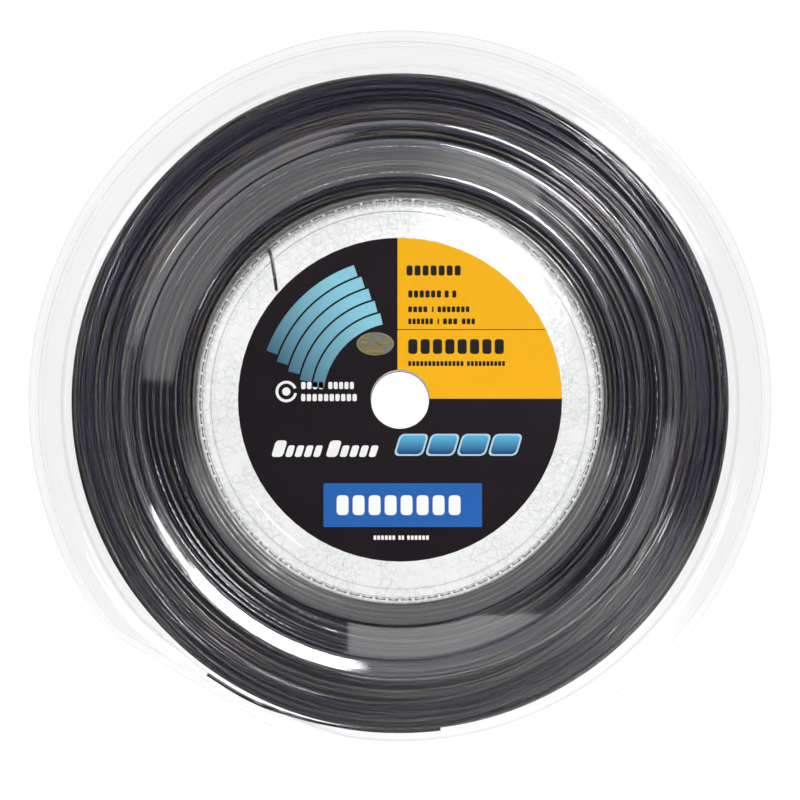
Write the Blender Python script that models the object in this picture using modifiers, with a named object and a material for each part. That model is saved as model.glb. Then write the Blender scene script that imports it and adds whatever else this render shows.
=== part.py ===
"""A reel of racket string: two clear halves clamp the ring that the string is wound on.

The reel's axis lies along Y, the front faces -Y, and the origin is the centre of the spindle hole."""

import math

import bmesh
import bpy
from mathutils import Matrix, Vector

MM = 0.001

# Radii, in millimetres
HOLE_R = 10.95
SLEEVE_R = 12.9
SHOULDER_R = 16.0
LABEL_HOLE_R = 10.75
LABEL_R = 59.0
PEG_CIRCLE_R = 40.0
PEG_R = 2.5
SOCKET_R = 4.6
RING_STEP_R = 64.0
SPIGOT_INNER_R = 69.2
SPIGOT_OUTER_R = 72.2
DRUM_INNER_R = 73.2
DRUM_RIB_R = 72.7
DRUM_OUTER_R = 74.4
PLATEAU_INNER_R = 82.2
PLATEAU_OUTER_R = 94.9
RIDGE_R = 101.4
WINDING_R = 120.0
BEND_R = 126.0
RIM_R = 135.0

# Heights from the middle plane, in millimetres
WALL = 1.7
WEB_Y = 7.9
PLATEAU_Y = 8.8
RIDGE_Y = 9.95
TROUGH_Y = 8.0
RIM_Y = 10.1
SPIGOT_Y = 3.0
PEG_END_Y = 4.0
SOCKET_END_Y = 5.0
LABEL_Y = WEB_Y + 0.05
LABEL_THICK = 0.15
SEAL_THICK = 0.1

# Other sizes, in millimetres
GAP = 0.3
STRING_R = 0.625
INNER_HOLE_R = STRING_R + 0.5
SHOULDER_THICK = 2.0
SEAL_SIZE = (13.7, 8.5)
SEAL_AT = (-9.0, 20.2)

PEGS = 6
DRUM_RIBS = 96
AROUND = 84

# The straight part of the rim, which the reel stands on
FLAT_ANGLE = math.radians(240)
FLAT_R = BEND_R
FLAT_SOFTNESS = math.radians(3.0)
FLAT_FROM_R = 122.0

# Where the free end passes through the front flange, and how it lies on both sides of it
EXIT_R = 121.6
EXIT_ANGLE = math.radians(247)
EXIT_CLEARANCE = 0.35

# The inner end, as (x, y, z) from inside the drum's wall to its cut end
INNER_END = (
    (-48.4, 0.0, 56.0),
    (-47.5, 0.0, 53.0),
    (-46.7, -0.8, 48.5),
    (-46.0, -1.0, 44.0),
    (-45.6, 0.8, 40.5),
)


def clear_scene():
    for obj in list(bpy.data.objects):
        bpy.data.objects.remove(obj)


def make_collection(name):
    collection = bpy.data.collections.new(name)
    bpy.context.scene.collection.children.link(collection)
    return collection


def make_material(name, colour, roughness, metallic=0.0, alpha=1.0):
    material = bpy.data.materials.new(name)
    material.use_nodes = True
    shader = material.node_tree.nodes["Principled BSDF"]
    shader.inputs["Base Color"].default_value = (*colour, 1.0)
    shader.inputs["Roughness"].default_value = roughness
    shader.inputs["Metallic"].default_value = metallic
    shader.inputs["Alpha"].default_value = alpha
    material.diffuse_color = (*colour, alpha)
    return material


def add_object(name, mesh, material, collection):
    obj = bpy.data.objects.new(name, mesh)
    mesh.materials.append(material)
    mesh.shade_smooth()
    mesh.set_sharp_from_angle(angle=math.radians(30))
    collection.objects.link(obj)
    return obj


def polar(radius, angle, y):
    """The point at this radius and angle round the reel's axis, in metres."""
    return Vector((radius * math.cos(angle), y, radius * math.sin(angle))) * MM


def rim_squeeze(angle):
    """How far the rim keeps its full width at this angle: 1 on the round part, less along the flat."""
    off = abs((angle - FLAT_ANGLE + math.pi) % math.tau - math.pi)
    to_flat = FLAT_R / max(math.cos(off), 0.5)
    width = RIM_R - FLAT_FROM_R
    blend = FLAT_R * FLAT_SOFTNESS**2
    # A soft minimum of the round rim and the chord, which rounds the flat's two corners.
    gap = RIM_R - to_flat
    reach = 0.5 * (RIM_R + to_flat - math.sqrt(gap * gap + blend * blend))
    return min(1.0, (reach - FLAT_FROM_R) / width)


def turned(outline, around=AROUND):
    """A mesh from a closed outline of (radius, y) points in millimetres, turned round the reel's axis."""
    count = len(outline)
    profile = bpy.data.meshes.new("profile")
    points = [(radius * MM, y * MM, 0.0) for radius, y in outline]
    profile.from_pydata(points, [(i, (i + 1) % count) for i in range(count)], [])
    holder = bpy.data.objects.new("profile", profile)
    bpy.context.scene.collection.objects.link(holder)
    screw = holder.modifiers.new("turn", "SCREW")
    screw.axis = "Y"
    screw.steps = around
    screw.render_steps = around
    screw.use_merge_vertices = True
    screw.merge_threshold = 0.00005
    graph = bpy.context.evaluated_depsgraph_get()
    mesh = bpy.data.meshes.new_from_object(holder.evaluated_get(graph))
    bpy.data.objects.remove(holder)
    face_outward(mesh)
    return mesh


def face_outward(mesh):
    """Welds a mesh's doubled points and turns its faces to point out."""
    welded = bmesh.new()
    welded.from_mesh(mesh)
    bmesh.ops.remove_doubles(welded, verts=welded.verts, dist=1e-6)
    bmesh.ops.recalc_face_normals(welded, faces=welded.faces)
    welded.to_mesh(mesh)
    welded.free()


def press_flat(mesh):
    """Draws the rim in along the flat, so that its section stays whole there."""
    for vertex in mesh.vertices:
        x, y, z = vertex.co / MM
        radius = math.hypot(x, z)
        if radius > FLAT_FROM_R:
            drawn = FLAT_FROM_R + (radius - FLAT_FROM_R) * rim_squeeze(math.atan2(z, x))
            vertex.co = polar(drawn, math.atan2(z, x), y)


def cylinders(radius, ends, segments=20):
    """Closed cylinders between pairs of points in metres, of a radius in millimetres."""
    mesh = bmesh.new()
    for start, end in ends:
        along = end - start
        turn = Vector((0, 0, 1)).rotation_difference(along).to_matrix().to_4x4()
        place = Matrix.Translation((start + end) / 2) @ turn
        bmesh.ops.create_cone(
            mesh,
            cap_ends=True,
            segments=segments,
            radius1=radius * MM,
            radius2=radius * MM,
            depth=along.length,
            matrix=place,
        )
    result = bpy.data.meshes.new("cylinders")
    mesh.to_mesh(result)
    mesh.free()
    return result


def add_boolean(obj, tool, operation):
    modifier = obj.modifiers.new(f"{operation.lower()} {tool.name}", "BOOLEAN")
    modifier.operation = operation
    modifier.solver = "EXACT"
    modifier.object = tool


def add_tool(name, mesh, cutters):
    tool = bpy.data.objects.new(name, mesh)
    tool.hide_render = True
    tool.display_type = "WIRE"
    cutters.objects.link(tool)
    return tool


def flange_outline(side):
    """One half's section, from the bore out along its outer face and back along its inner face."""
    inner_web = WEB_Y - WALL
    outline = [
        (SLEEVE_R + GAP, WEB_Y),
        (RING_STEP_R, WEB_Y),
        (RING_STEP_R + 0.3, WEB_Y + 0.25),
        (DRUM_OUTER_R, WEB_Y + 0.25),
        (PLATEAU_INNER_R, PLATEAU_Y),
        (PLATEAU_OUTER_R, PLATEAU_Y),
        (RIDGE_R, RIDGE_Y),
        (WINDING_R - 0.8, TROUGH_Y),
        (BEND_R - 1.5, TROUGH_Y),
        (BEND_R + 1.0, RIM_Y),
        (RIM_R - 0.9, RIM_Y),
        (RIM_R, RIM_Y - 0.9),
        (RIM_R, RIM_Y - 2.3),
        (BEND_R - 0.5, RIM_Y - 2.3),
        (WINDING_R, TROUGH_Y - WALL),
        (RIDGE_R, RIDGE_Y - WALL),
        (PLATEAU_OUTER_R, PLATEAU_Y - WALL),
        (PLATEAU_INNER_R, PLATEAU_Y - WALL),
        (DRUM_OUTER_R + 0.7, inner_web),
        (SPIGOT_OUTER_R, inner_web),
        (SPIGOT_OUTER_R, SPIGOT_Y),
        (SPIGOT_INNER_R, SPIGOT_Y),
        (SPIGOT_INNER_R, inner_web),
        (SLEEVE_R + GAP, inner_web),
    ]
    return [(radius, side * y) for radius, y in outline]


def peg_ends(start_y, end_y):
    """The two ends of each peg, or of each socket, between these heights."""
    angles = [math.tau * (i + 0.5) / PEGS for i in range(PEGS)]
    return [(polar(PEG_CIRCLE_R, a, start_y), polar(PEG_CIRCLE_R, a, end_y)) for a in angles]


def make_front_flange(material, collection, cutters):
    mesh = turned(flange_outline(-1))
    press_flat(mesh)
    flange = add_object("front_flange", mesh, material, collection)
    sockets = cylinders(SOCKET_R, peg_ends(-(WEB_Y - WALL / 2), SOCKET_END_Y))
    bores = cylinders(PEG_R + GAP, peg_ends(-PEG_END_Y - 1.0, SOCKET_END_Y + 1.0))
    add_boolean(flange, add_tool("sockets", sockets, cutters), "UNION")
    add_boolean(flange, add_tool("socket_bores", bores, cutters), "DIFFERENCE")
    exit_hole = string_mesh(outer_end_path(), STRING_R + EXIT_CLEARANCE)
    add_boolean(flange, add_tool("exit_hole", exit_hole, cutters), "DIFFERENCE")


def make_rear_flange(material, collection, cutters):
    mesh = turned(flange_outline(1))
    press_flat(mesh)
    flange = add_object("rear_flange", mesh, material, collection)
    pegs = cylinders(PEG_R, peg_ends(WEB_Y - WALL / 2, -PEG_END_Y))
    add_boolean(flange, add_tool("pegs", pegs, cutters), "UNION")


def raise_ribs(mesh):
    """Draws every second line of the drum's inside towards the axis, which leaves a ring of ribs."""
    half_step = math.tau / (2 * DRUM_RIBS)
    for vertex in mesh.vertices:
        x, y, z = vertex.co / MM
        angle = math.atan2(z, x)
        inside = math.hypot(x, z) < (DRUM_INNER_R + DRUM_OUTER_R) / 2
        if inside and round(angle / half_step) % 2 == 0:
            vertex.co = polar(DRUM_RIB_R, angle, y)


def make_core_drum(material, collection, cutters):
    half = WEB_Y - WALL - GAP
    outline = [
        (DRUM_INNER_R, -half),
        (DRUM_OUTER_R, -half),
        (DRUM_OUTER_R, half),
        (DRUM_INNER_R, half),
    ]
    mesh = turned(outline, around=2 * DRUM_RIBS)
    raise_ribs(mesh)
    drum = add_object("core_drum", mesh, material, collection)
    inside = Vector(INNER_END[1]) * MM
    outside = Vector(INNER_END[0]) * MM
    along = (outside - inside).normalized()
    reach = 4.0 * MM
    ends = [(inside - along * reach, outside + along * reach)]
    hole = cylinders(INNER_HOLE_R, ends)
    add_boolean(drum, add_tool("inner_end_hole", hole, cutters), "DIFFERENCE")


def make_sleeve(material, collection):
    shoulder_y = WEB_Y - WALL - GAP
    end_y = WEB_Y - 0.1
    outline = [
        (HOLE_R, -end_y),
        (SLEEVE_R, -end_y),
        (SLEEVE_R, -shoulder_y),
        (SHOULDER_R, -shoulder_y),
        (SHOULDER_R, SHOULDER_THICK - shoulder_y),
        (SLEEVE_R, SHOULDER_THICK - shoulder_y),
        (SLEEVE_R, shoulder_y - SHOULDER_THICK),
        (SHOULDER_R, shoulder_y - SHOULDER_THICK),
        (SHOULDER_R, shoulder_y),
        (SLEEVE_R, shoulder_y),
        (SLEEVE_R, end_y),
        (HOLE_R, end_y),
    ]
    add_object("spindle_sleeve", turned(outline, 48), material, collection)


def make_label(name, side, material, collection):
    low = side * LABEL_Y
    high = side * (LABEL_Y + LABEL_THICK)
    outline = [
        (LABEL_HOLE_R, low),
        (LABEL_R, low),
        (LABEL_R, high),
        (LABEL_HOLE_R, high),
    ]
    add_object(name, turned(outline, 72), material, collection)


def make_seal(material, collection):
    low = -(LABEL_Y + LABEL_THICK + 0.05)
    ends = [(Vector((0, low * MM, 0)), Vector((0, (low - SEAL_THICK) * MM, 0)))]
    mesh = cylinders(0.5, ends, segments=40)
    width, height = SEAL_SIZE
    across = Matrix.Diagonal((width, 1.0, height, 1.0))
    mesh.transform(Matrix.Translation((SEAL_AT[0] * MM, 0, SEAL_AT[1] * MM)) @ across)
    add_object("seal_sticker", mesh, material, collection)


def make_winding(material, collection):
    inset = WALL + GAP
    half = [
        (DRUM_OUTER_R + GAP, WEB_Y - inset - 0.1),
        (PLATEAU_INNER_R, PLATEAU_Y - inset),
        (PLATEAU_OUTER_R, PLATEAU_Y - inset),
        (RIDGE_R, RIDGE_Y - inset),
        (WINDING_R - 1.2, TROUGH_Y - inset),
        (WINDING_R, TROUGH_Y - inset - 1.0),
    ]
    outline = [(radius, -y) for radius, y in half] + half[::-1]
    add_object("string_winding", turned(outline, 72), material, collection)


def string_curve(points, radius=STRING_R):
    """A round string along these points, in metres."""
    curve = bpy.data.curves.new("string", "CURVE")
    curve.dimensions = "3D"
    curve.bevel_depth = radius * MM
    curve.bevel_resolution = 2
    curve.use_fill_caps = True
    spline = curve.splines.new("POLY")
    spline.points.add(len(points) - 1)
    for target, point in zip(spline.points, points):
        target.co = (*point, 1.0)
    return curve


def string_mesh(points, radius):
    """The same string as one closed mesh, which can be a cutter."""
    holder = bpy.data.objects.new("string", string_curve(points, radius))
    mesh = bpy.data.meshes.new_from_object(holder)
    bpy.data.objects.remove(holder)
    face_outward(mesh)
    return mesh


def add_string(name, points, material, collection):
    curve = string_curve(points)
    curve.materials.append(material)
    obj = bpy.data.objects.new(name, curve)
    collection.objects.link(obj)


def smooth_path(corners, steps=5):
    """A Catmull-Rom curve through the given points."""
    path = []
    last = len(corners) - 1
    for i in range(last):
        before, start = corners[max(i - 1, 0)], corners[i]
        end, after = corners[i + 1], corners[min(i + 2, last)]
        for step in range(steps):
            t = step / steps
            path.append(
                0.5
                * (
                    2 * start
                    + (end - before) * t
                    + (2 * before - 5 * start + 4 * end - after) * t**2
                    + (3 * start - 3 * end + after - before) * t**3
                )
            )
    path.append(corners[last])
    return path


def make_inner_end(material, collection):
    corners = [Vector(point) * MM for point in INNER_END]
    add_string("string_inner_end", smooth_path(corners), material, collection)


def outer_end_path():
    """From the top of the winding, through the flange's hole and along the rim's trough."""
    lift_r = WINDING_R + GAP + STRING_R
    wall_y = TROUGH_Y - WALL / 2
    trough_y = TROUGH_Y + EXIT_CLEARANCE / 2 + STRING_R
    corners = [
        polar(radius, EXIT_ANGLE + math.radians(degrees), -y)
        for radius, degrees, y in (
            (lift_r, 30, 1.0),
            (lift_r, 20, 1.6),
            (lift_r + 0.2, 10, 3.4),
            (EXIT_R - 0.2, 2.4, wall_y - 1.6),
            (EXIT_R, 0.3, wall_y),
            (EXIT_R, -2.0, trough_y),
            (EXIT_R, -6.0, trough_y),
            (EXIT_R, -12.0, trough_y),
        )
    ]
    return smooth_path(corners)


def make_outer_end(material, collection):
    add_string("string_outer_end", outer_end_path(), material, collection)


def build():
    clear_scene()
    reel = make_collection("string_reel")
    cutters = make_collection("cutters")
    cutters.hide_render = True
    clear = make_material("clear_plastic", (0.93, 0.94, 0.95), 0.08, alpha=0.35)
    core = make_material("core_plastic", (0.90, 0.91, 0.92), 0.15, alpha=0.45)
    bush = make_material("bush_plastic", (0.85, 0.86, 0.87), 0.25)
    front_print = make_material("front_print", (0.02, 0.02, 0.025), 0.3)
    rear_print = make_material("rear_print", (0.025, 0.025, 0.03), 0.35)
    seal_film = make_material("seal_film", (0.25, 0.22, 0.12), 0.25, metallic=0.8)
    string = make_material("string_polyester", (0.015, 0.014, 0.02), 0.28)
    make_front_flange(clear, reel, cutters)
    make_rear_flange(clear.copy(), reel, cutters)
    make_core_drum(core, reel, cutters)
    make_sleeve(bush, reel)
    make_label("front_label", -1, front_print, reel)
    make_label("rear_label", 1, rear_print, reel)
    make_seal(seal_film, reel)
    make_winding(string, reel)
    make_inner_end(string.copy(), reel)
    make_outer_end(string.copy(), reel)


build()
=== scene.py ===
"""A clear moulded reel of black racket string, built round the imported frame."""

import math

import bmesh
import bpy
import numpy as np
from mathutils import Matrix, Quaternion, Vector


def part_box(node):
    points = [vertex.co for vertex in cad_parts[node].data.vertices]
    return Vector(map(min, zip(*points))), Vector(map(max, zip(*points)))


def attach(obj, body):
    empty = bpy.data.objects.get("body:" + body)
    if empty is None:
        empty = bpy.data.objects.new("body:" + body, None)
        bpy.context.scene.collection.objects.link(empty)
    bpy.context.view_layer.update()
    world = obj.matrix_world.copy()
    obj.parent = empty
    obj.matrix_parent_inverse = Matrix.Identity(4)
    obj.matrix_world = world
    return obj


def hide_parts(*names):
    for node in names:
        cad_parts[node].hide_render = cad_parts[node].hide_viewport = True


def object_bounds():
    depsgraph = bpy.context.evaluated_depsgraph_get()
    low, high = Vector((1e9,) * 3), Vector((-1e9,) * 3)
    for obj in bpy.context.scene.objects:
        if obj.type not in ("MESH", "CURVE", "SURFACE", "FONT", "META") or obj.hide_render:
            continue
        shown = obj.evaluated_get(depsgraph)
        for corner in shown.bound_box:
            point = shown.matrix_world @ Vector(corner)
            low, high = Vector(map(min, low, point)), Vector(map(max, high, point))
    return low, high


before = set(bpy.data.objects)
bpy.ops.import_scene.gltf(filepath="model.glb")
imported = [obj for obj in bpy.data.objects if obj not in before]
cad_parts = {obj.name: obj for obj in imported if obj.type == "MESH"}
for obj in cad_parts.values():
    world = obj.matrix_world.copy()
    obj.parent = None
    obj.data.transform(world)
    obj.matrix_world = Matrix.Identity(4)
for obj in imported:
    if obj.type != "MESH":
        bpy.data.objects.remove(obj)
cad_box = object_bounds()

MM = 0.001
SEED = 20


def lowest(node):
    return Vector(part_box(node)[0])


def highest(node):
    return Vector(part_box(node)[1])


# Sizes that the frame gives, in metres
RIM_R = highest("front_flange").x
RIM_Y = highest("rear_flange").y
WINDING_R = highest("string_winding").x
DRUM_R = highest("core_drum").x
DRUM_Y = highest("core_drum").y
LABEL_R = highest("front_label").x
FRONT_PRINT_Y = lowest("front_label").y
REAR_PRINT_Y = highest("rear_label").y

# The flanges' section, in metres
WALL = 1.7 * MM
GAP = 0.3 * MM
WEB_Y = DRUM_Y + WALL + GAP
BORE_R = 13.2 * MM
STEP_R = 64.0 * MM
SPIGOT_INNER_R = 69.2 * MM
SPIGOT_OUTER_R = 72.2 * MM
SPIGOT_Y = 3.0 * MM
PLATEAU_INNER_R = 82.2 * MM
PLATEAU_OUTER_R = 94.9 * MM
RIDGE_R = 101.4 * MM
BEND_R = 126.0 * MM
PLATEAU_Y = RIM_Y - 1.3 * MM
RIDGE_Y = RIM_Y - 0.15 * MM
BROW_R = (PLATEAU_OUTER_R + RIDGE_R) / 2
BROW_Y = PLATEAU_Y + 0.475 * (RIDGE_Y - PLATEAU_Y)
TROUGH_Y = RIM_Y - 2.1 * MM
FLAT_ANGLE = math.radians(240)
FLAT_SOFTNESS = math.radians(3.0)
FLAT_FROM_R = 122.0 * MM
DRUM_RIBS = 96
PEGS = 6
PEG_CIRCLE_R = 40.0 * MM
PEG_R = 2.5 * MM
SOCKET_R = 4.6 * MM

LABEL_HOLE_R = 10.75 * MM
STRING_R = 0.625 * MM
AROUND = 288

# How much of the light passes straight through a wall, clear of the winding
RIM_CLEARNESS = 0.78
HUB_CLEARNESS = 0.7

# The relief that the mould leaves on the clear plastic
RIPPLE_DEPTH = 0.035 * MM
SWIRL_DEPTH = 0.04 * MM
PEBBLE_DEPTH = 0.07 * MM

# The thickness in nanometres of the film that gives the ridge its rainbow sheen
FILM_THICKNESS = 500.0


# ---------------------------------------------------------------- helpers


def add_node(tree, kind, inputs=None, **settings):
    """A shader node with its settings, and its inputs either set or linked."""
    made = tree.nodes.new(kind)
    for key, value in settings.items():
        setattr(made, key, value)
    for key, value in (inputs or {}).items():
        if isinstance(value, bpy.types.NodeSocket):
            tree.links.new(value, made.inputs[key])
        else:
            made.inputs[key].default_value = value
    return made


def math_node(tree, operation, *values):
    return add_node(
        tree, "ShaderNodeMath", dict(enumerate(values)), operation=operation
    ).outputs[0]


def ramp_node(tree, factor, stops):
    """A colour ramp through (position, colour) stops."""
    made = add_node(tree, "ShaderNodeValToRGB", {"Fac": factor})
    ramp = made.color_ramp
    while len(ramp.elements) < len(stops):
        ramp.elements.new(0.5)
    for element, (position, colour) in zip(ramp.elements, stops):
        element.position = position
        element.color = (*colour, 1.0)
    return made.outputs["Color"]


def product(tree, *factors):
    result = factors[0]
    for factor in factors[1:]:
        result = math_node(tree, "MULTIPLY", result, factor)
    return result


def map_range(tree, value, start, end, low=0.0, high=1.0):
    inputs = {"Value": value, "From Min": start, "From Max": end, "To Min": low, "To Max": high}
    return add_node(tree, "ShaderNodeMapRange", inputs).outputs["Result"]


def mix_colours(tree, factor, first, second):
    inputs = {"Factor": factor, "A": first, "B": second}
    return add_node(tree, "ShaderNodeMix", inputs, data_type="RGBA").outputs[2]


def mix_shaders(tree, factor, first, second):
    return add_node(tree, "ShaderNodeMixShader", {0: factor, 1: first, 2: second}).outputs[0]


def principled(tree, inputs):
    return add_node(tree, "ShaderNodeBsdfPrincipled", inputs).outputs[0]


def bump_node(tree, height, strength, distance):
    inputs = {"Height": height, "Strength": strength, "Distance": distance}
    return add_node(tree, "ShaderNodeBump", inputs).outputs["Normal"]


def object_point(tree):
    return add_node(tree, "ShaderNodeTexCoord").outputs["Object"]


def split_point(tree, where):
    """The x, y and z of a point, as three values."""
    split = add_node(tree, "ShaderNodeSeparateXYZ", {"Vector": where})
    return [split.outputs[axis] for axis in "XYZ"]


def axis_distance(tree, x, z):
    """How far a point is from the reel's axis."""
    squares = math_node(tree, "ADD", product(tree, x, x), product(tree, z, z))
    return math_node(tree, "SQRT", squares)


def noise_node(tree, scale, detail, roughness, where):
    inputs = {"Scale": scale, "Detail": detail, "Roughness": roughness, "Vector": where}
    return add_node(tree, "ShaderNodeTexNoise", inputs).outputs["Fac"]


def new_material(name):
    """A material with an empty tree and its output node."""
    material = bpy.data.materials.new(name)
    material.use_nodes = True
    tree = material.node_tree
    tree.nodes.clear()
    output = add_node(tree, "ShaderNodeOutputMaterial")
    return material, tree, output


def finish_material(tree, output, surface):
    tree.links.new(surface, output.inputs["Surface"])


def polar(radius, angle, y):
    return Vector((radius * math.cos(angle), y, radius * math.sin(angle)))


def link(obj):
    bpy.context.scene.collection.objects.link(obj)
    return obj


def add_piece(name, mesh, material, replaces=(), smooth=True, sharp=35):
    """Puts a mesh in the scene as one piece of the reel."""
    piece = link(bpy.data.objects.new(name, mesh))
    mesh.materials.clear()
    mesh.materials.append(material)
    if smooth:
        mesh.shade_smooth()
        mesh.set_sharp_from_angle(angle=math.radians(sharp))
    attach(piece, "root")
    if replaces:
        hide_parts(*replaces)
    return piece


def mesh_from(points, faces, name="mesh"):
    mesh = bpy.data.meshes.new(name)
    mesh.from_pydata(points, [], faces)
    mesh.update()
    return mesh


# ---------------------------------------------------------------- turned shapes


def rim_squeeze(angle):
    """How far the rim keeps its full width at this angle: 1 on the round part, less along the flat."""
    off = abs((angle - FLAT_ANGLE + math.pi) % math.tau - math.pi)
    to_flat = BEND_R / max(math.cos(off), 0.5)
    blend = BEND_R * FLAT_SOFTNESS**2
    gap = RIM_R - to_flat
    reach = 0.5 * (RIM_R + to_flat - math.sqrt(gap * gap + blend * blend))
    return min(1.0, (reach - FLAT_FROM_R) / (RIM_R - FLAT_FROM_R))


def rounded(corners, steps=4):
    """A closed outline of (radius, y, fillet) corners, with each fillet drawn as a smooth bend.

    A point just outside each end of a fillet keeps the faces beside it truly flat when shaded."""
    outline = []
    count = len(corners)
    for i, (x, y, fillet) in enumerate(corners):
        here = np.array((x, y))
        before = np.array(corners[i - 1][:2]) - here
        after = np.array(corners[(i + 1) % count][:2]) - here
        if not fillet:
            outline.append((x, y))
            continue
        start = before * min(0.42, fillet / np.linalg.norm(before))
        end = after * min(0.42, fillet / np.linalg.norm(after))
        outline.append(tuple(here + start * 1.12))
        for step in range(steps + 1):
            t = step / steps
            outline.append(tuple(here + start * (1 - t) ** 2 + end * t**2))
        outline.append(tuple(here + end * 1.12))
    return [(float(x), float(y)) for x, y in outline]


def revolve(outline, around=AROUND, squeeze=None):
    """A closed ring from a closed outline of (radius, y) points."""
    points = []
    for step in range(around):
        angle = math.tau * step / around
        keep = squeeze(angle) if squeeze else 1.0
        for radius, y in outline:
            if squeeze and radius > FLAT_FROM_R:
                radius = FLAT_FROM_R + (radius - FLAT_FROM_R) * keep
            points.append(polar(radius, angle, y))
    count = len(outline)
    faces = []
    for step in range(around):
        here = step * count
        there = (step + 1) % around * count
        for i in range(count):
            j = (i + 1) % count
            faces.append((here + i, here + j, there + j, there + i))
    mesh = mesh_from(points, faces)
    tidy = bmesh.new()
    tidy.from_mesh(mesh)
    bmesh.ops.recalc_face_normals(tidy, faces=tidy.faces)
    tidy.to_mesh(mesh)
    tidy.free()
    return mesh


def cylinders(radius, ends, segments=32):
    mesh = bmesh.new()
    for start, end in ends:
        along = end - start
        turn = Vector((0, 0, 1)).rotation_difference(along).to_matrix().to_4x4()
        bmesh.ops.create_cone(
            mesh,
            cap_ends=True,
            segments=segments,
            radius1=radius,
            radius2=radius,
            depth=along.length,
            matrix=Matrix.Translation((start + end) / 2) @ turn,
        )
    result = bpy.data.meshes.new("cylinders")
    mesh.to_mesh(result)
    mesh.free()
    return result


def combine(mesh, tools):
    """The mesh after Booleans with (tool mesh, operation) pairs."""
    base = link(bpy.data.objects.new("base", mesh))
    helpers = [base]
    for tool_mesh, operation in tools:
        tool = link(bpy.data.objects.new("tool", tool_mesh))
        modifier = base.modifiers.new(operation, "BOOLEAN")
        modifier.operation = operation
        modifier.solver = "EXACT"
        modifier.object = tool
        helpers.append(tool)
    graph = bpy.context.evaluated_depsgraph_get()
    result = bpy.data.meshes.new_from_object(base.evaluated_get(graph))
    for helper in helpers:
        bpy.data.objects.remove(helper)
    return result


# ---------------------------------------------------------------- flanges


def inner_face_y(radius):
    """How far a flange's inner face is from the middle plane at this radius."""
    radii = [DRUM_R, PLATEAU_INNER_R, PLATEAU_OUTER_R, RIDGE_R, WINDING_R]
    heights = [WEB_Y, PLATEAU_Y, PLATEAU_Y, RIDGE_Y, TROUGH_Y]
    return np.interp(radius, radii, heights) - WALL


def flange_outline(side):
    web = WEB_Y - WALL
    corners = [
        (BORE_R, WEB_Y, 0.2),
        (STEP_R, WEB_Y, 0.15),
        (STEP_R + 0.35 * MM, WEB_Y + 0.25 * MM, 0.15),
        (SPIGOT_INNER_R, WEB_Y + 0.25 * MM, 0.15),
        (SPIGOT_INNER_R + 0.35 * MM, WEB_Y, 0.15),
        (DRUM_R, WEB_Y, 1.2),
        (PLATEAU_INNER_R, PLATEAU_Y, 0.9),
        (PLATEAU_OUTER_R, PLATEAU_Y, 0.9),
        (BROW_R, BROW_Y, 1.9),
        (RIDGE_R, RIDGE_Y, 1.3),
        (WINDING_R - 0.8 * MM, TROUGH_Y, 1.5),
        (BEND_R - 1.5 * MM, TROUGH_Y, 1.6),
        (BEND_R + 1.0 * MM, RIM_Y, 1.2),
        (RIM_R - 0.9 * MM, RIM_Y, 0.3),
        (RIM_R, RIM_Y - 0.9 * MM, 0.7),
        (RIM_R, RIM_Y - 2.3 * MM, 0.6),
        (BEND_R - 0.5 * MM, RIM_Y - 2.3 * MM, 1.6),
        (WINDING_R, TROUGH_Y - WALL, 1.5),
        (RIDGE_R, RIDGE_Y - WALL, 1.5),
        (PLATEAU_OUTER_R, PLATEAU_Y - WALL, 1.5),
        (PLATEAU_INNER_R, PLATEAU_Y - WALL, 0.9),
        (DRUM_R + 0.7 * MM, web, 0.8),
        (SPIGOT_OUTER_R, web, 0.3),
        (SPIGOT_OUTER_R, SPIGOT_Y, 0.25),
        (SPIGOT_INNER_R, SPIGOT_Y, 0.25),
        (SPIGOT_INNER_R, web, 0.5),
        (BORE_R, web, 0.2),
    ]
    return rounded([(radius, side * y, fillet * MM) for radius, y, fillet in corners])


def peg_ends(start_y, end_y):
    angles = [math.tau * (i + 0.5) / PEGS for i in range(PEGS)]
    return [(polar(PEG_CIRCLE_R, a, start_y), polar(PEG_CIRCLE_R, a, end_y)) for a in angles]


def hub_cells(tree, where, within_hub):
    """Fine wandering lines that divide the hub ring into small cells."""
    stray = add_node(tree, "ShaderNodeTexNoise", {"Vector": where, "Scale": 500.0}).outputs["Color"]
    reach = (1.2 * MM, 1.2 * MM, 1.2 * MM)
    bent = add_node(
        tree, "ShaderNodeVectorMath", {0: stray, 1: reach, 2: where}, operation="MULTIPLY_ADD"
    )
    cells = add_node(
        tree,
        "ShaderNodeTexVoronoi",
        {"Vector": bent.outputs["Vector"], "Scale": 300.0},
        feature="DISTANCE_TO_EDGE",
    )
    lines = math_node(tree, "LESS_THAN", cells.outputs["Distance"], 0.06)
    patches = math_node(tree, "GREATER_THAN", noise_node(tree, 60.0, 1.0, 0.5, where), 0.45)
    return product(tree, lines, patches, within_hub)


def mould_relief(tree, where, radius, within_hub):
    """The height of the ripple that is everywhere, and of the hub ring's swirls and pebbles."""
    over_spigot = math_node(tree, "GREATER_THAN", radius, SPIGOT_INNER_R)
    before_step = math_node(tree, "LESS_THAN", radius, STEP_R)
    pebbled = math_node(tree, "MAXIMUM", over_spigot, before_step)
    ripple = product(tree, noise_node(tree, 55.0, 1.0, 0.4, where), RIPPLE_DEPTH)
    swirls = product(tree, noise_node(tree, 260.0, 1.0, 0.5, where), within_hub, SWIRL_DEPTH)
    fine = noise_node(tree, 700.0, 2.0, 0.5, where)
    pebbles = product(tree, fine, within_hub, pebbled, PEBBLE_DEPTH)
    return math_node(tree, "ADD", ripple, math_node(tree, "ADD", swirls, pebbles))


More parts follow.
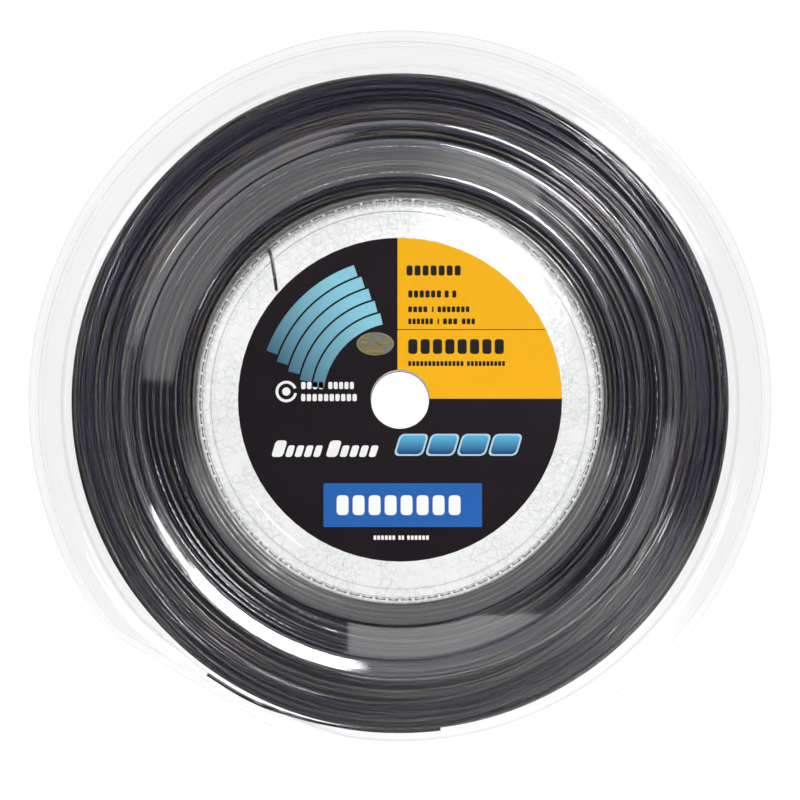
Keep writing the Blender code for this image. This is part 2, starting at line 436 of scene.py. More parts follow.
def rainbow_film(tree, radius, z, haze):
    """The film's thickness. Stress from the mould leaves a faint sheen along the upper ridge."""
    near_ridge = map_range(tree, radius, RIDGE_R - 8.0 * MM, RIDGE_R - 3.0 * MM)
    within_ridge = math_node(tree, "LESS_THAN", radius, RIDGE_R + 2.0 * MM)
    upper = math_node(tree, "GREATER_THAN", z, 20.0 * MM)
    return product(tree, near_ridge, within_ridge, upper, haze, FILM_THICKNESS)


def see_through(tree, where, within_hub):
    """Light that passes straight through, a little greyer edge-on and along the hub's cells."""
    facing = add_node(tree, "ShaderNodeLayerWeight", {"Blend": 0.5}).outputs["Facing"]
    edge_on = map_range(tree, facing, 0.6, 1.0)
    cells = product(tree, hub_cells(tree, where, within_hub), 0.45)
    shade = math_node(tree, "MAXIMUM", cells, edge_on)
    tint = ramp_node(tree, shade, [(0.0, (0.972, 0.973, 0.973)), (1.0, (0.78, 0.79, 0.795))])
    return add_node(tree, "ShaderNodeBsdfTransparent", {"Color": tint}).outputs[0]


def clear_plastic(name="clear_plastic"):
    """Polished clear plastic with moulding ripple, and a pebbled hub ring."""
    material, tree, output = new_material(name)
    where = object_point(tree)
    x, _, z = split_point(tree, where)
    radius = axis_distance(tree, x, z)
    within_hub = math_node(tree, "LESS_THAN", radius, DRUM_R)
    haze = noise_node(tree, 30.0, 3.0, 0.6, where)
    glass = principled(
        tree,
        {
            "Base Color": (0.985, 0.99, 0.992, 1.0),
            "Roughness": math_node(tree, "ADD", product(tree, haze, 0.04), 0.01),
            "IOR": 1.5,
            "Transmission Weight": 1.0,
            "Thin Film Thickness": rainbow_film(tree, radius, z, haze),
            "Thin Film IOR": 1.6,
            "Normal": bump_node(tree, mould_relief(tree, where, radius, within_hub), 1.0, 1.0),
        },
    )
    # Lamps shine through the plastic, as they do through a thin clear wall. Away from the winding
    # much of the light comes straight through as well, which keeps the moulded edges pale.
    in_rim = math_node(tree, "GREATER_THAN", radius, WINDING_R + 1.0 * MM)
    rim_share = product(tree, in_rim, RIM_CLEARNESS)
    hub_share = product(tree, within_hub, HUB_CLEARNESS)
    share = math_node(tree, "ADD", rim_share, hub_share)
    to_lamp = add_node(tree, "ShaderNodeLightPath").outputs["Is Shadow Ray"]
    straight = math_node(tree, "MAXIMUM", to_lamp, share)
    surface = mix_shaders(tree, straight, glass, see_through(tree, where, within_hub))
    finish_material(tree, output, surface)
    return material


def core_plastic():
    """The drum's clear plastic, with a painted shadow in the gaps between its inner ribs."""
    material = clear_plastic("core_clear")
    tree = material.node_tree
    output = next(n for n in tree.nodes if n.bl_idname == "ShaderNodeOutputMaterial")
    clear = output.inputs["Surface"].links[0].from_socket
    x, y, z = split_point(tree, object_point(tree))
    rib_wave = math_node(tree, "COSINE", product(tree, math_node(tree, "ARCTAN2", z, x), DRUM_RIBS))
    between_ribs = math_node(tree, "LESS_THAN", rib_wave, 0.75)
    inside = math_node(tree, "LESS_THAN", axis_distance(tree, x, z), DRUM_R - 1.15 * MM)
    near_end = math_node(tree, "GREATER_THAN", math_node(tree, "ABSOLUTE", y), DRUM_Y - 2.6 * MM)
    shaded = product(tree, between_ribs, inside, near_end)
    # Dark rough plastic near the ends of the rib gaps is a painted shadow, not the drum's own colour.
    shadow = principled(
        tree, {"Base Color": (0.03, 0.03, 0.035, 1.0), "Roughness": 0.6, "IOR": 1.3}
    )
    finish_material(tree, output, mix_shaders(tree, shaded, clear, shadow))
    return material


def make_front_flange(material):
    sockets = cylinders(SOCKET_R, peg_ends(-(WEB_Y - WALL / 2), 5 * MM))
    bores = cylinders(PEG_R + GAP, peg_ends(-5 * MM, 6 * MM))
    hole = tube(outer_end_path(), STRING_R + 0.35 * MM)
    mesh = combine(
        revolve(flange_outline(-1), squeeze=rim_squeeze),
        [(sockets, "UNION"), (bores, "DIFFERENCE"), (hole, "DIFFERENCE")],
    )
    add_piece("front_flange_moulding", mesh, material, ["front_flange"])


def make_rear_flange(material):
    pegs = cylinders(PEG_R, peg_ends(WEB_Y - WALL / 2, -4 * MM))
    mesh = combine(revolve(flange_outline(1), squeeze=rim_squeeze), [(pegs, "UNION")])
    add_piece("rear_flange_moulding", mesh, material, ["rear_flange"])


# ---------------------------------------------------------------- string


def smooth_path(corners, steps=8):
    """A Catmull-Rom curve through the given points."""
    path = []
    last = len(corners) - 1
    for i in range(last):
        before, start = corners[max(i - 1, 0)], corners[i]
        end, after = corners[i + 1], corners[min(i + 2, last)]
        for step in range(steps):
            t = step / steps
            path.append(
                0.5
                * (
                    2 * start
                    + (end - before) * t
                    + (2 * before - 5 * start + 4 * end - after) * t**2
                    + (3 * start - 3 * end + after - before) * t**3
                )
            )
    path.append(corners[last])
    return path


def outer_end_path():
    """From the top of the winding, through the front flange's hole and along the rim's trough."""
    exit_r = WINDING_R + 1.6 * MM
    exit_angle = math.radians(247)
    lift_r = WINDING_R + GAP + STRING_R
    wall_y = TROUGH_Y - WALL / 2
    trough_y = TROUGH_Y + 0.175 * MM + STRING_R
    places = (
        (lift_r, 30, 1.0 * MM),
        (lift_r, 20, 1.6 * MM),
        (lift_r + 0.2 * MM, 10, 3.4 * MM),
        (exit_r - 0.2 * MM, 2.4, wall_y - 1.6 * MM),
        (exit_r, 0.3, wall_y),
        (exit_r, -2.0, trough_y),
        (exit_r, -6.0, trough_y),
        (exit_r, -12.0, trough_y),
    )
    corners = [polar(r, exit_angle + math.radians(degrees), -y) for r, degrees, y in places]
    return smooth_path(corners)


def tube(path, radius, sides=12):
    """A closed round tube along a path, with slightly domed ends."""
    curve = bpy.data.curves.new("tube", "CURVE")
    curve.dimensions = "3D"
    curve.bevel_depth = radius
    curve.bevel_resolution = (sides - 4) // 2
    curve.use_fill_caps = True
    spline = curve.splines.new("POLY")
    spline.points.add(len(path) - 1)
    for target, point in zip(spline.points, path):
        target.co = (*point, 1.0)
    holder = bpy.data.objects.new("tube", curve)
    mesh = bpy.data.meshes.new_from_object(holder)
    bpy.data.objects.remove(holder)
    welded = bmesh.new()
    welded.from_mesh(mesh)
    bmesh.ops.remove_doubles(welded, verts=welded.verts, dist=1e-6)
    bmesh.ops.recalc_face_normals(welded, faces=welded.faces)
    welded.to_mesh(mesh)
    welded.free()
    return mesh


TURN_STEPS = 216
TURN_ANGLES = np.linspace(0, math.tau, TURN_STEPS, endpoint=False)
STRAND_FACES = 5
STRAND_SIDES = 2 * STRAND_FACES
FACE_HALF_ANGLE = math.radians(27)
LAYER_DEPTH = 1.0 * MM
CROSSING_TURNS = 18

# Turns in the close layer get dark tones, a painted shade, and those on it take the light, their lighter
# tones partly a painted sheen
SHADED_TONES = (0.0, 0.3)
LIT_TONES = (0.4, 1.0)


def wander(rng, reach, waves=4):
    """A smooth closed curve of this reach round one turn."""
    total = np.zeros_like(TURN_ANGLES)
    for wave in range(1, waves + 1):
        total += rng.normal() * np.cos(wave * TURN_ANGLES + rng.uniform(0, math.tau)) / wave
    return reach * total / 1.2


class Strands:
    """Turns of string gathered into one mesh."""

    def __init__(self, seed):
        self.rng = np.random.RandomState(seed)
        self.points = []
        self.tone = []
        self.along = []
        self.facing = []
        self.printed = []
        self.turns = 0

    def add(self, radii, heights, tones, printed_share):
        """Adds one closed turn whose middle line has these radii and heights."""
        printed = float(self.rng.uniform() < printed_share)
        # The string is five-sided with cut corners, and it rolls to and fro as it is laid.
        faces = np.arange(STRAND_FACES) * math.tau / STRAND_FACES
        across = np.stack([faces - FACE_HALF_ANGLE, faces + FACE_HALF_ANGLE], -1).reshape(-1)
        roll = self.rng.uniform(0, math.tau) + wander(self.rng, 0.36, 3)
        facing = across[None, :] + roll[:, None]
        radius = radii[:, None] + STRING_R * np.cos(facing)
        height = heights[:, None] + STRING_R * np.sin(facing)
        cosines = np.cos(TURN_ANGLES)[:, None]
        sines = np.sin(TURN_ANGLES)[:, None]
        place = np.stack([radius * cosines, height, radius * sines], -1)
        self.points.append(place.reshape(-1, 3))
        shape = (TURN_STEPS, STRAND_SIDES)
        self.tone.append(np.full(shape, self.rng.uniform(*tones)))
        along = self.rng.uniform(0, 0.7) + TURN_ANGLES * radii.mean()
        self.along.append(np.broadcast_to(along[:, None], shape))
        self.facing.append(facing)
        self.printed.append(np.full(shape, printed))
        self.turns += 1

    def mesh(self):
        count = TURN_STEPS * STRAND_SIDES
        step, side = np.meshgrid(np.arange(TURN_STEPS), np.arange(STRAND_SIDES), indexing="ij")
        next_step = (step + 1) % TURN_STEPS
        next_side = (side + 1) % STRAND_SIDES
        quad = np.stack(
            [
                step * STRAND_SIDES + side,
                step * STRAND_SIDES + next_side,
                next_step * STRAND_SIDES + next_side,
                next_step * STRAND_SIDES + side,
            ],
            -1,
        ).reshape(-1, 4)
        faces = np.concatenate([quad + turn * count for turn in range(self.turns)])
        mesh = mesh_from(np.concatenate(self.points).tolist(), faces.tolist(), "strands")
        for name in ("tone", "along", "facing", "printed"):
            values = np.concatenate([part.reshape(-1) for part in getattr(self, name)])
            layer = mesh.attributes.new(name, "FLOAT", "POINT")
            layer.data.foreach_set("value", values.astype(np.float32))
        return mesh


def attribute_node(tree, name):
    return add_node(tree, "ShaderNodeAttribute", attribute_name=name).outputs["Fac"]


def repeats(tree, along, per_metre, share):
    """1 over this first share of each repeat along the string."""
    phase = math_node(tree, "FRACT", product(tree, along, per_metre))
    return math_node(tree, "LESS_THAN", phase, share)


def printed_dashes(tree):
    """1 where printed string carries a dash. The dashes come in groups and wander round the string."""
    along = attribute_node(tree, "along")
    groups = repeats(tree, along, 5.2, 0.42)
    dashes = repeats(tree, along, 330.0, 0.62)
    between_gaps = math_node(tree, "SUBTRACT", 1.0, repeats(tree, along, 71.0, 0.2))
    drift = product(tree, math_node(tree, "SINE", product(tree, along, 9.0)), 0.5)
    turned = math_node(tree, "ADD", attribute_node(tree, "facing"), drift)
    off_line = math_node(tree, "ABSOLUTE", math_node(tree, "COSINE", turned))
    near_line = math_node(tree, "LESS_THAN", off_line, 0.22)
    return product(tree, groups, dashes, between_gaps, near_line, attribute_node(tree, "printed"))


def string_material(name, laid=True, gloss=1.0):
    """Dark polyester with a violet cast; laid string varies from turn to turn, with painted shade and
    painted sheen in its tones, and carries dashes.

    A dull base keeps each turn distinct, and a polished skin on it carries the sharp streaks."""
    material, tree, output = new_material(name)
    where = object_point(tree)
    tone = attribute_node(tree, "tone") if laid else noise_node(tree, 20.0, 1.0, 0.5, where)
    # Tones below 0.3 are the close layer's painted shade; the lighter colours near 0.82 are a painted
    # sheen on turns that take the light.
    colour = ramp_node(
        tree,
        tone,
        [
            (0.0, (0.002, 0.002, 0.003)),
            (0.3, (0.003, 0.003, 0.004)),
            (0.5, (0.004, 0.003, 0.006)),
            (0.7, (0.006, 0.006, 0.011)),
            (0.82, (0.017, 0.014, 0.013)),
            (0.92, (0.011, 0.010, 0.011)),
            (1.0, (0.007, 0.007, 0.010)),
        ],
    )
    if laid:
        colour = mix_colours(tree, printed_dashes(tree), colour, (0.17, 0.17, 0.18, 1.0))
    mottle = noise_node(tree, 900.0, 3.0, 0.6, where)
    grain = bump_node(tree, mottle, 0.1, 0.02 * MM)
    surface = principled(
        tree,
        {
            "Base Color": colour,
            "Roughness": 0.28,
            "IOR": 1.6,
            "Specular IOR Level": 0.055,
            "Coat Weight": map_range(tree, tone, 0.45, 0.95, 0.04 * gloss, 0.7 * gloss),
            "Coat Roughness": math_node(tree, "ADD", product(tree, mottle, 0.05), 0.045),
            "Coat IOR": 1.55,
            "Coat Normal": grain,
            "Normal": grain,
        },
    )
    finish_material(tree, output, surface)
    return material


def lay_face(side, seed):
    """The turns seen through one flange: a close layer, looser turns on it, and a few that cross."""
    strands = Strands(seed)
    rng = strands.rng
    first = DRUM_R + GAP + STRING_R
    last = WINDING_R - STRING_R
    layers = (
        (1, 1.16 * MM, 0.35 * MM, SHADED_TONES),
        (0, 1.75 * MM, 1.0 * MM, LIT_TONES),
    )
    for level, pitch, reach, tones in layers:
        count = int((last - first) / pitch)
        for i in range(count + 1):
            if level == 0 and rng.uniform() < 0.12:
                continue
            outward = i / count
            middle = first + (last - first) * outward
            radii = np.clip(middle + wander(rng, reach * (0.35 + outward)), first, last)
            depth = 0.12 * MM + abs(wander(rng, 0.3 * MM, 3)) + level * LAYER_DEPTH
            heights = inner_face_y(radii) - STRING_R - depth
            strands.add(radii, side * heights, tones, 0.03)
    for i in range(CROSSING_TURNS):
        middle = RIDGE_R + (WINDING_R - RIDGE_R) * rng.uniform(-0.1, 0.95)
        radii = np.clip(middle + wander(rng, 3.4 * MM, 3), first, last)
        depth = 0.06 * MM + abs(wander(rng, 0.15 * MM, 2))
        heights = inner_face_y(radii) - STRING_R - depth
        strands.add(radii, side * heights, LIT_TONES, 0.05)
    return strands.mesh()


def lay_edge(seed):
    """The turns that make the winding's outer edge."""
    strands = Strands(seed)
    rng = strands.rng
    half = TROUGH_Y - WALL - GAP - STRING_R
    top = WINDING_R - STRING_R
    for level, count, reach, tones in (
        (1, 10, 0.2 * MM, SHADED_TONES),
        (0, 8, 0.7 * MM, LIT_TONES),
    ):
        for i in range(count):
            middle = half * (2 * (i + 0.5) / count - 1)
            heights = np.clip(middle + wander(rng, reach), -half, half)
            dip = abs(wander(rng, 0.18 * MM, 3))
            droop = 0.9 * MM * (abs(heights) / half) ** 4
            radii = top - level * LAYER_DEPTH - dip - droop
            strands.add(radii, heights, tones, 0.1)
    return strands.mesh()


def make_winding(material):
    """Loose turns on the faces and the edge, round an inner ring that fills the rest."""
    layers = (
        ("front", lay_face(-1, SEED)),
        ("rear", lay_face(1, SEED + 1)),
        ("edge", lay_edge(SEED + 2)),
    )
    for name, mesh in layers:
        add_piece(
            f"winding_{name}_turns",
            mesh,
            material,
            ["string_winding"],
            sharp=30,
        )
    inset = 2.4 * MM
    radii = [DRUM_R + GAP, PLATEAU_INNER_R, PLATEAU_OUTER_R, RIDGE_R, WINDING_R - inset]
    half = [(radius, float(inner_face_y(radius)) - inset) for radius in radii]
    outline = [(radius, -y) for radius, y in half] + half[::-1]
    add_piece(
        "winding_inner_turns",
        revolve(outline, 144),
        string_material("string_inside", laid=False),
        ["string_winding"],
    )


# ---------------------------------------------------------------- label prints

# Matt varnish mirrors very little
PRINT_IOR = 1.12


def print_material(name, colour, roughness=0.45, fade=None):
    """Printed ink, slightly mottled.

    A fade is (second colour, start, end), where start and end are (across, up) points in mm."""
    material, tree, output = new_material(name)
    where = object_point(tree)
    grain = noise_node(tree, 1400.0, 2.0, 0.6, where)
    if fade:
        second, start, end = fade
        start = Vector((start[0], 0, start[1])) * MM
        along = Vector((end[0], 0, end[1])) * MM - start
        offset = add_node(tree, "ShaderNodeVectorMath", {0: where, 1: start}, operation="SUBTRACT")
        reach = add_node(
            tree,
            "ShaderNodeVectorMath",
            {0: offset.outputs["Vector"], 1: along / along.length_squared},
            operation="DOT_PRODUCT",
        )
        base = ramp_node(tree, reach.outputs["Value"], [(0.0, colour), (1.0, second)])
    else:
        base = (*colour, 1.0)
    darker = tuple(0.6 * channel for channel in colour) + (1.0,)
    surface = principled(
        tree,
        {
            "Base Color": mix_colours(tree, product(tree, grain, 0.12), base, darker),
            "Roughness": math_node(tree, "ADD", product(tree, grain, 0.12), roughness - 0.06),
            "IOR": PRINT_IOR,
            "Normal": bump_node(tree, grain, 0.15, 0.01 * MM),
        },
    )
    finish_material(tree, output, surface)
    return material


class Print:
    """Flat shapes of one ink, drawn in millimetres as seen from outside, just above a label."""

    THICK = 0.03 * MM

    def __init__(self, side, lift=0.02):
        self.side = side
        self.low = (FRONT_PRINT_Y if side < 0 else REAR_PRINT_Y) + side * lift * MM
        self.mesh = bmesh.new()

    def shape(self, outline):
        """A closed outline of (across, up) points, made into a thin plate."""
        flip = -self.side
        verts = [self.mesh.verts.new((flip * x * MM, self.low, z * MM)) for x, z in outline]
        face = self.mesh.faces.new(verts)
        made = bmesh.ops.extrude_face_region(self.mesh, geom=[face])
        top = [item for item in made["geom"] if isinstance(item, bmesh.types.BMVert)]
        bmesh.ops.translate(self.mesh, verts=top, vec=(0, self.side * self.THICK, 0))

    def bar(self, left, middle, width, height, slant=0.0, soft=0.35):
        """A word's worth of ink: a bar with soft corners, leaning by slant."""
        corner = min(soft * height, 0.5 * width)
        outline = []
        for cx, cz, start in (
            (width - corner, height - corner, 0),
            (corner, height - corner, 90),
            (corner, corner, 180),
            (width - corner, corner, 270),
        ):
            for step in range(4):
                angle = math.radians(start + 30 * step)
                x = cx + corner * math.cos(angle)
                z = cz + corner * math.sin(angle) - height / 2
                outline.append((left + x + slant * z, middle + z))
        self.shape(outline)

    def row(self, left, middle, height, words, gap=0.5, slant=0.0):
        """A line of words of these widths, each a run of letter-sized blocks."""
        for width in words:
            pitch = width / max(1, round(width / (0.8 * height)))
            for block in range(round(width / pitch)):
                self.bar(left + block * pitch, middle, 0.74 * pitch, height, slant, soft=0.18)
            left += width + gap * height
        return left

    def band(self, inner, outer, start, end, centre=(0.0, 0.0)):
        """Part of a ring between two radii and two angles in degrees."""
        steps = max(6, int(abs(end - start) / 3))
        angles = [math.radians(start + (end - start) * i / steps) for i in range(steps + 1)]
        cx, cz = centre
        outline = [(cx + outer * math.cos(a), cz + outer * math.sin(a)) for a in angles]
        outline += [(cx + inner * math.cos(a), cz + inner * math.sin(a)) for a in reversed(angles)]
        self.shape(outline)

    def done(self, name, material):
        bmesh.ops.recalc_face_normals(self.mesh, faces=self.mesh.faces)
        mesh = bpy.data.meshes.new(name)
        self.mesh.to_mesh(mesh)
        self.mesh.free()
        add_piece(name, mesh, material, smooth=False)


# Where a print ends, in millimetres, just inside the label's own edges
PRINT_R = LABEL_R / MM - 0.05
PRINT_HOLE_R = LABEL_HOLE_R / MM + 0.05


def quadrant(left, bottom):
    """The upper right part of the label, from these edges out to the rim."""

    def arc(radius, start, end, steps):
        angles = [start + (end - start) * step / steps for step in range(steps + 1)]
        return [(radius * math.cos(angle), radius * math.sin(angle)) for angle in angles]

    outer = arc(PRINT_R, math.asin(bottom / PRINT_R), math.acos(left / PRINT_R), 48)
    inner_start = math.acos(left / PRINT_HOLE_R)
    inner = arc(PRINT_HOLE_R, inner_start, math.asin(bottom / PRINT_HOLE_R), 24)
    return outer + inner


def make_front_print():
    amber = Print(-1)
    amber.shape(quadrant(-0.9, 0.2))
    amber.done("label_amber_panel", print_material("amber_ink", (0.87, 0.43, 0.003)))

    dark = Print(-1, lift=0.07)
    dark.bar(-0.9, 25.4, 53.6, 0.25, soft=0.0)
    dark.row(2.4, 47.0, 3.7, [20.5])
    dark.row(3.0, 38.4, 2.6, [12.5, 2.0, 2.0], gap=0.3)
    dark.row(3.0, 32.8, 2.1, [7.4, 0.8, 12.0], gap=0.6)
    dark.row(3.0, 28.4, 2.1, [9.4, 0.8, 5.6, 5.2], gap=0.6)
    dark.row(3.0, 19.2, 5.4, [36.0])
    dark.row(3.0, 13.0, 1.8, [20.5, 14.2])
    dark.done("label_dark_marks", print_material("dark_ink", (0.012, 0.010, 0.010)))

    white = Print(-1)
    white.row(-36.0, 5.0, 2.6, [8.6, 9.8])
    white.row(-36.0, 0.6, 2.6, [20.8])
    white.band(2.9, 3.9, 20, 350, centre=(-41.4, 2.8))
    white.band(0.02, 1.5, 0, 359, centre=(-41.4, 2.8))
    white.bar(-46.0, -18.0, 4.2, 6.0, slant=0.3, soft=0.2)
    white.row(-41.2, -18.9, 4.2, [13.5], slant=0.3)
    white.bar(-26.2, -18.0, 4.2, 6.0, slant=0.3, soft=0.2)
    white.row(-21.4, -18.9, 4.2, [14.0], slant=0.3)
    white.row(-9.6, -50.3, 1.6, [8.2, 2.4, 8.2])
    white.done("label_white_marks", print_material("white_ink", (0.82, 0.82, 0.82)))

    edge = Print(-1)
    for block in range(4):
        edge.bar(-1.2 + 11.4 * block, -16.6, 10.6, 8.0, slant=0.3, soft=0.22)
    edge.done("label_blue_outline", print_material("outline_ink", (0.42, 0.62, 0.72)))
    blue = Print(-1, lift=0.07)
    for block in range(4):
        blue.bar(-0.5 + 11.4 * block, -16.6, 9.2, 6.8, slant=0.3, soft=0.22)
    fade = ((0.012, 0.05, 0.16), (0.0, -13.5), (0.0, -19.5))
    blue_ink = print_material("blue_ink", (0.10, 0.42, 0.68), fade=fade)
    blue.done("label_blue_marks", blue_ink)

    panel = Print(-1)
    panel.bar(-27.8, -38.5, 57.6, 15.9, soft=0.03)
    panel.done("label_panel", print_material("panel_ink", (0.015, 0.11, 0.40)))
    mark = Print(-1, lift=0.07)
    mark.row(-23.0, -38.5, 7.2, [46.5])
    mark.done("label_panel_mark", print_material("panel_mark_ink", (0.86, 0.86, 0.86)))

    coil = Print(-1)
    for turn in range(5):
        inner = 28.0 + 4.9 * turn
        coil.band(inner, inner + 4.2, 103 + 1.5 * turn, 172 - 3.0 * turn)
    fade = ((0.006, 0.035, 0.08), (-16.0, 34.0), (-48.0, 8.0))
    coil.done("label_coil", print_material("coil_ink", (0.24, 0.56, 0.68), fade=fade))


def make_rear_print():
    ring = Print(1)
    for part in range(4):
        ring.band(52.0, 55.5, 4 + 90 * part, 86 + 90 * part)
    ring.done("rear_label_ring", print_material("rear_amber_ink", (0.93, 0.44, 0.007)))
    white = Print(1)
    white.row(-19.5, 30.0, 4.0, [18.0, 18.5])
    white.row(-21.0, 23.0, 2.2, [9.0, 12.0, 7.0, 10.0])
    for line in range(5):
        white.row(-25.0 + 1.5 * line, -20.0 - 4.2 * line, 1.8, [12.0, 9.5 - line, 11.0, 12.5 - 2 * line])
    white.done("rear_label_marks", print_material("rear_white_ink", (0.75, 0.75, 0.75)))


def film_material(name):
    """The label's black film: smooth, with a faint orange peel."""
    material, tree, output = new_material(name)
    where = object_point(tree)
    peel = noise_node(tree, 220.0, 2.0, 0.5, where)
    cloud = noise_node(tree, 24.0, 3.0, 0.6, where)
    surface = principled(
        tree,
        {
            "Base Color": ramp_node(
                tree, cloud, [(0.3, (0.007, 0.004, 0.007)), (0.7, (0.011, 0.007, 0.010))]
            ),
            "Roughness": math_node(tree, "ADD", product(tree, cloud, 0.1), 0.4),
            "IOR": PRINT_IOR,
            "Normal": bump_node(tree, peel, 0.2, 0.05 * MM),
        },
    )
    finish_material(tree, output, surface)
    return material


def foil_material(name):
    """The seal's foil: dark bronze with faint rainbow patches."""
    material, tree, output = new_material(name)
    patch = noise_node(tree, 420.0, 2.0, 0.6, object_point(tree))
    colour = ramp_node(
        tree,
        patch,
        [
            (0.3, (0.05, 0.035, 0.02)),
            (0.45, (0.13, 0.09, 0.03)),
            (0.55, (0.05, 0.09, 0.07)),
            (0.7, (0.11, 0.07, 0.09)),
        ],
    )
    surface = principled(tree, {"Base Color": colour, "Metallic": 0.85, "Roughness": 0.28})
    finish_material(tree, output, surface)
    return material


def make_seal():
    """A gold border and a generic pattern of lines on the seal."""
    low, high = lowest("seal_sticker"), highest("seal_sticker")
    centre = (low + high) / 2 / MM
    half_size = (high - low) / 2 / MM

    def ellipse(scale, start, end, steps=48):
        points = []
        for step in range(steps + 1):
            angle = math.radians(start + (end - start) * step / steps)
            x = centre.x + scale * half_size.x * math.cos(angle)
            points.append((x, centre.z + scale * half_size.z * math.sin(angle)))
        return points

    gold = Print(-1, lift=0.17)
    for start, end in ((0, 179.5), (180, 359.5)):
        gold.shape(ellipse(0.97, start, end) + ellipse(0.90, end, start))
    gold.bar(centre.x - 3.2, centre.z - 2.5, 6.4, 0.9)
    gold.bar(centre.x - 5.2, centre.z + 0.4, 2.4, 0.7)
    gold.bar(centre.x + 2.8, centre.z + 0.4, 2.4, 0.7)
    gold.done("seal_border", print_material("gold_ink", (0.26, 0.19, 0.08)))


# ---------------------------------------------------------------- stage


def reflected_ray(tree, path, threshold):
    """1 where the ray has bounced off something, other than only passing through clear plastic."""
    turned = math_node(
        tree, "SUBTRACT", path.outputs["Ray Depth"], path.outputs["Transmission Depth"]
    )
    return math_node(tree, "GREATER_THAN", turned, threshold)


def paper_material(name, colour):
    """Pale paper that glows a little, and is dim where the reel mirrors it."""
    material, tree, output = new_material(name)
    fine = noise_node(tree, 60.0, 3.0, 0.6, object_point(tree))
    speckle = tuple(0.985 * channel for channel in colour)
    shade = ramp_node(tree, fine, [(0.3, speckle), (0.7, colour)])
    path = add_node(tree, "ShaderNodeLightPath")
    not_diffuse = math_node(tree, "SUBTRACT", 1.0, path.outputs["Is Diffuse Ray"])
    mirrored = product(tree, reflected_ray(tree, path, 0.5), not_diffuse)
    surface = principled(
        tree,
        {
            "Base Color": mix_colours(tree, mirrored, shade, (0.035, 0.035, 0.035, 1.0)),
            "Roughness": 0.6,
            "Emission Color": (1.0, 1.0, 1.0, 1.0),
            "Emission Strength": map_range(tree, mirrored, 0.0, 1.0, 0.33, 0.0),
        },
    )
    finish_material(tree, output, surface)
    return material


def make_floor():
    mesh = bmesh.new()
    bmesh.ops.create_grid(mesh, x_segments=8, y_segments=8, size=4.0)
    data = bpy.data.meshes.new("floor")
    mesh.to_mesh(data)
    mesh.free()
    floor = link(bpy.data.objects.new("floor", data))
    floor.location.z = cad_box[0][2] - 0.2 * MM
    data.materials.append(paper_material("floor_paper", (0.95, 0.95, 0.953)))


def make_light(name, place, size, radiance, roll=0.0, shape="RECTANGLE", aim=None):
    """A soft box: an area lamp that shows in reflections but not to the camera.

    One with no aim faces straight away from the camera's side. One with an aim is off to a side
    and doesn't light the paper."""
    lamp = bpy.data.lights.new(name, "AREA")
    lamp.shape = shape
    lamp.size, lamp.size_y = size
    lamp.energy = radiance * math.pi * size[0] * size[1]
    holder = link(bpy.data.objects.new(name, lamp))
    holder.location = place
    toward = Vector(aim) - Vector(place) if aim else Vector((0, 1, 0))
    turn = toward.to_track_quat("-Z", "Y") @ Quaternion((0, 0, 1), math.radians(roll))
    holder.rotation_euler = turn.to_euler()
    holder.visible_camera = False
    holder.visible_diffuse = aim is None
    return holder


def make_world():
    """A backdrop that is pale to the camera, straight or through clear plastic.

    What the reel mirrors of the side that the camera is on is dim."""
    world = bpy.data.worlds.new("studio")
    bpy.context.scene.world = world
    world.use_nodes = True
    tree = world.node_tree
    tree.nodes.clear()
    where = add_node(tree, "ShaderNodeTexCoord").outputs["Camera"]
    path = add_node(tree, "ShaderNodeLightPath")
    diffuse = path.outputs["Is Diffuse Ray"]
    behind_camera = math_node(tree, "LESS_THAN", split_point(tree, where)[2], 0.2)
    dim_share = product(tree, reflected_ray(tree, path, 1.5), behind_camera)
    mirrored = map_range(tree, dim_share, 0.0, 1.0, 1.0, 0.045)
    fill = map_range(tree, diffuse, 0.0, 1.0, 1.0, 0.68)
    strength = add_node(
        tree, "ShaderNodeMix", {"Factor": diffuse, "A": mirrored, "B": fill}, data_type="FLOAT"
    )
    backdrop = add_node(
        tree,
        "ShaderNodeBackground",
        {"Color": (1.0, 1.0, 1.0, 1.0), "Strength": strength.outputs[0]},
    )
    world.cycles.sampling_method = "NONE"
    output = add_node(tree, "ShaderNodeOutputWorld")
    tree.links.new(backdrop.outputs[0], output.inputs["Surface"])


def make_camera():
    camera = bpy.data.cameras.new("camera")
    camera.lens = 88.0
    camera.sensor_width = 36.0
    holder = link(bpy.data.objects.new("camera", camera))
    distance = 0.72
    rise = math.radians(-2.0)
    holder.location = (0.0, -distance * math.cos(rise), distance * math.sin(rise))
    holder.rotation_euler = (-holder.location).to_track_quat("-Z", "Y").to_euler()
    bpy.context.scene.camera = holder


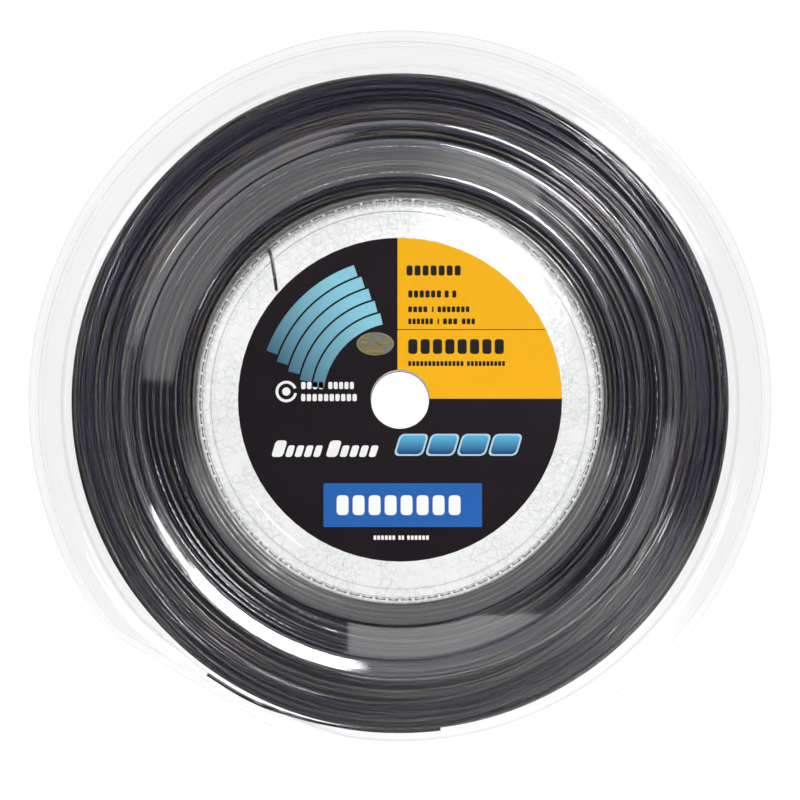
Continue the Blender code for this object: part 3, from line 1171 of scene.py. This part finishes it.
def make_studio():
    make_floor()
    make_world()
    # Broad dim boxes that the flanges' flat faces mirror
    make_light("front_box", (-0.085, -1.25, 0.2106), (0.45, 0.295), 1.25)
    make_light("middle_box", (0.0, -1.25, 0.04), (0.09, 0.06), 1.1)
    make_light("low_box", (0.121, -1.25, -0.077), (0.20, 0.07), 1.1, roll=45)
    make_light("floor_box", (0.057, -0.30, -0.117), (0.167, 0.034), 2.0)
    # The bright boxes that make a crescent on the ridge, and its pointed end
    make_light("crescent_box", (0.0845, -1.24, 0.190), (0.12, 0.10), 24.0, -30, "ELLIPSE")
    make_light("tip_box", (0.137, -1.24, 0.1426), (0.076, 0.02), 24.0, -54, "ELLIPSE")
    # Strong boxes off to the sides, for the streaks along the string
    make_light("left_box", (-0.7, -0.7, 0.4), (0.2, 0.5), 36.0, -60, aim=(0, 0, 0))
    make_light("right_box", (0.57, -0.7, 0.6), (0.34, 0.8), 80.0, -45, aim=(0, 0, 0))
    # Broad dim boxes that pick out each turn of the string
    make_light("left_wall", (-1.1, -0.75, 0.1), (0.9, 1.3), 0.9, aim=(0, 0, 0.1))
    make_light("right_wall", (1.1, -0.75, 0.1), (0.9, 1.3), 0.9, aim=(0, 0, 0.1))
    # Boxes for the rear and the edge
    rear = make_light("rear_box", (0.5, 0.8, 0.7), (0.2, 0.6), 30.0, 45, aim=(0, 0, 0))
    rear.visible_transmission = False
    make_light("top_box", (0.0, 0.1, 1.4), (1.2, 1.2), 0.7, aim=(0, 0, 0))
    make_camera()
    bpy.context.scene.view_settings.view_transform = "Standard"


# ---------------------------------------------------------------- the reel


def dress(node, material):
    """Gives a CAD node that stays its finished material."""
    obj = bpy.data.objects[node]
    for slot in obj.material_slots:
        slot.material = material
    if not obj.material_slots:
        obj.data.materials.append(material)


def build():
    clear = clear_plastic()
    turns = string_material("string_turns")
    ends = string_material("string_ends", laid=False, gloss=0.35)
    make_front_flange(clear)
    make_rear_flange(clear)
    make_winding(turns)
    dress("core_drum", core_plastic())
    dress("spindle_sleeve", print_material("sleeve_plastic", (0.78, 0.79, 0.80), roughness=0.3))
    dress("front_label", film_material("front_film"))
    dress("rear_label", film_material("rear_film"))
    dress("seal_sticker", foil_material("seal_foil"))
    dress("string_inner_end", ends)
    dress("string_outer_end", ends)
    make_front_print()
    make_rear_print()
    make_seal()
    make_studio()


build()
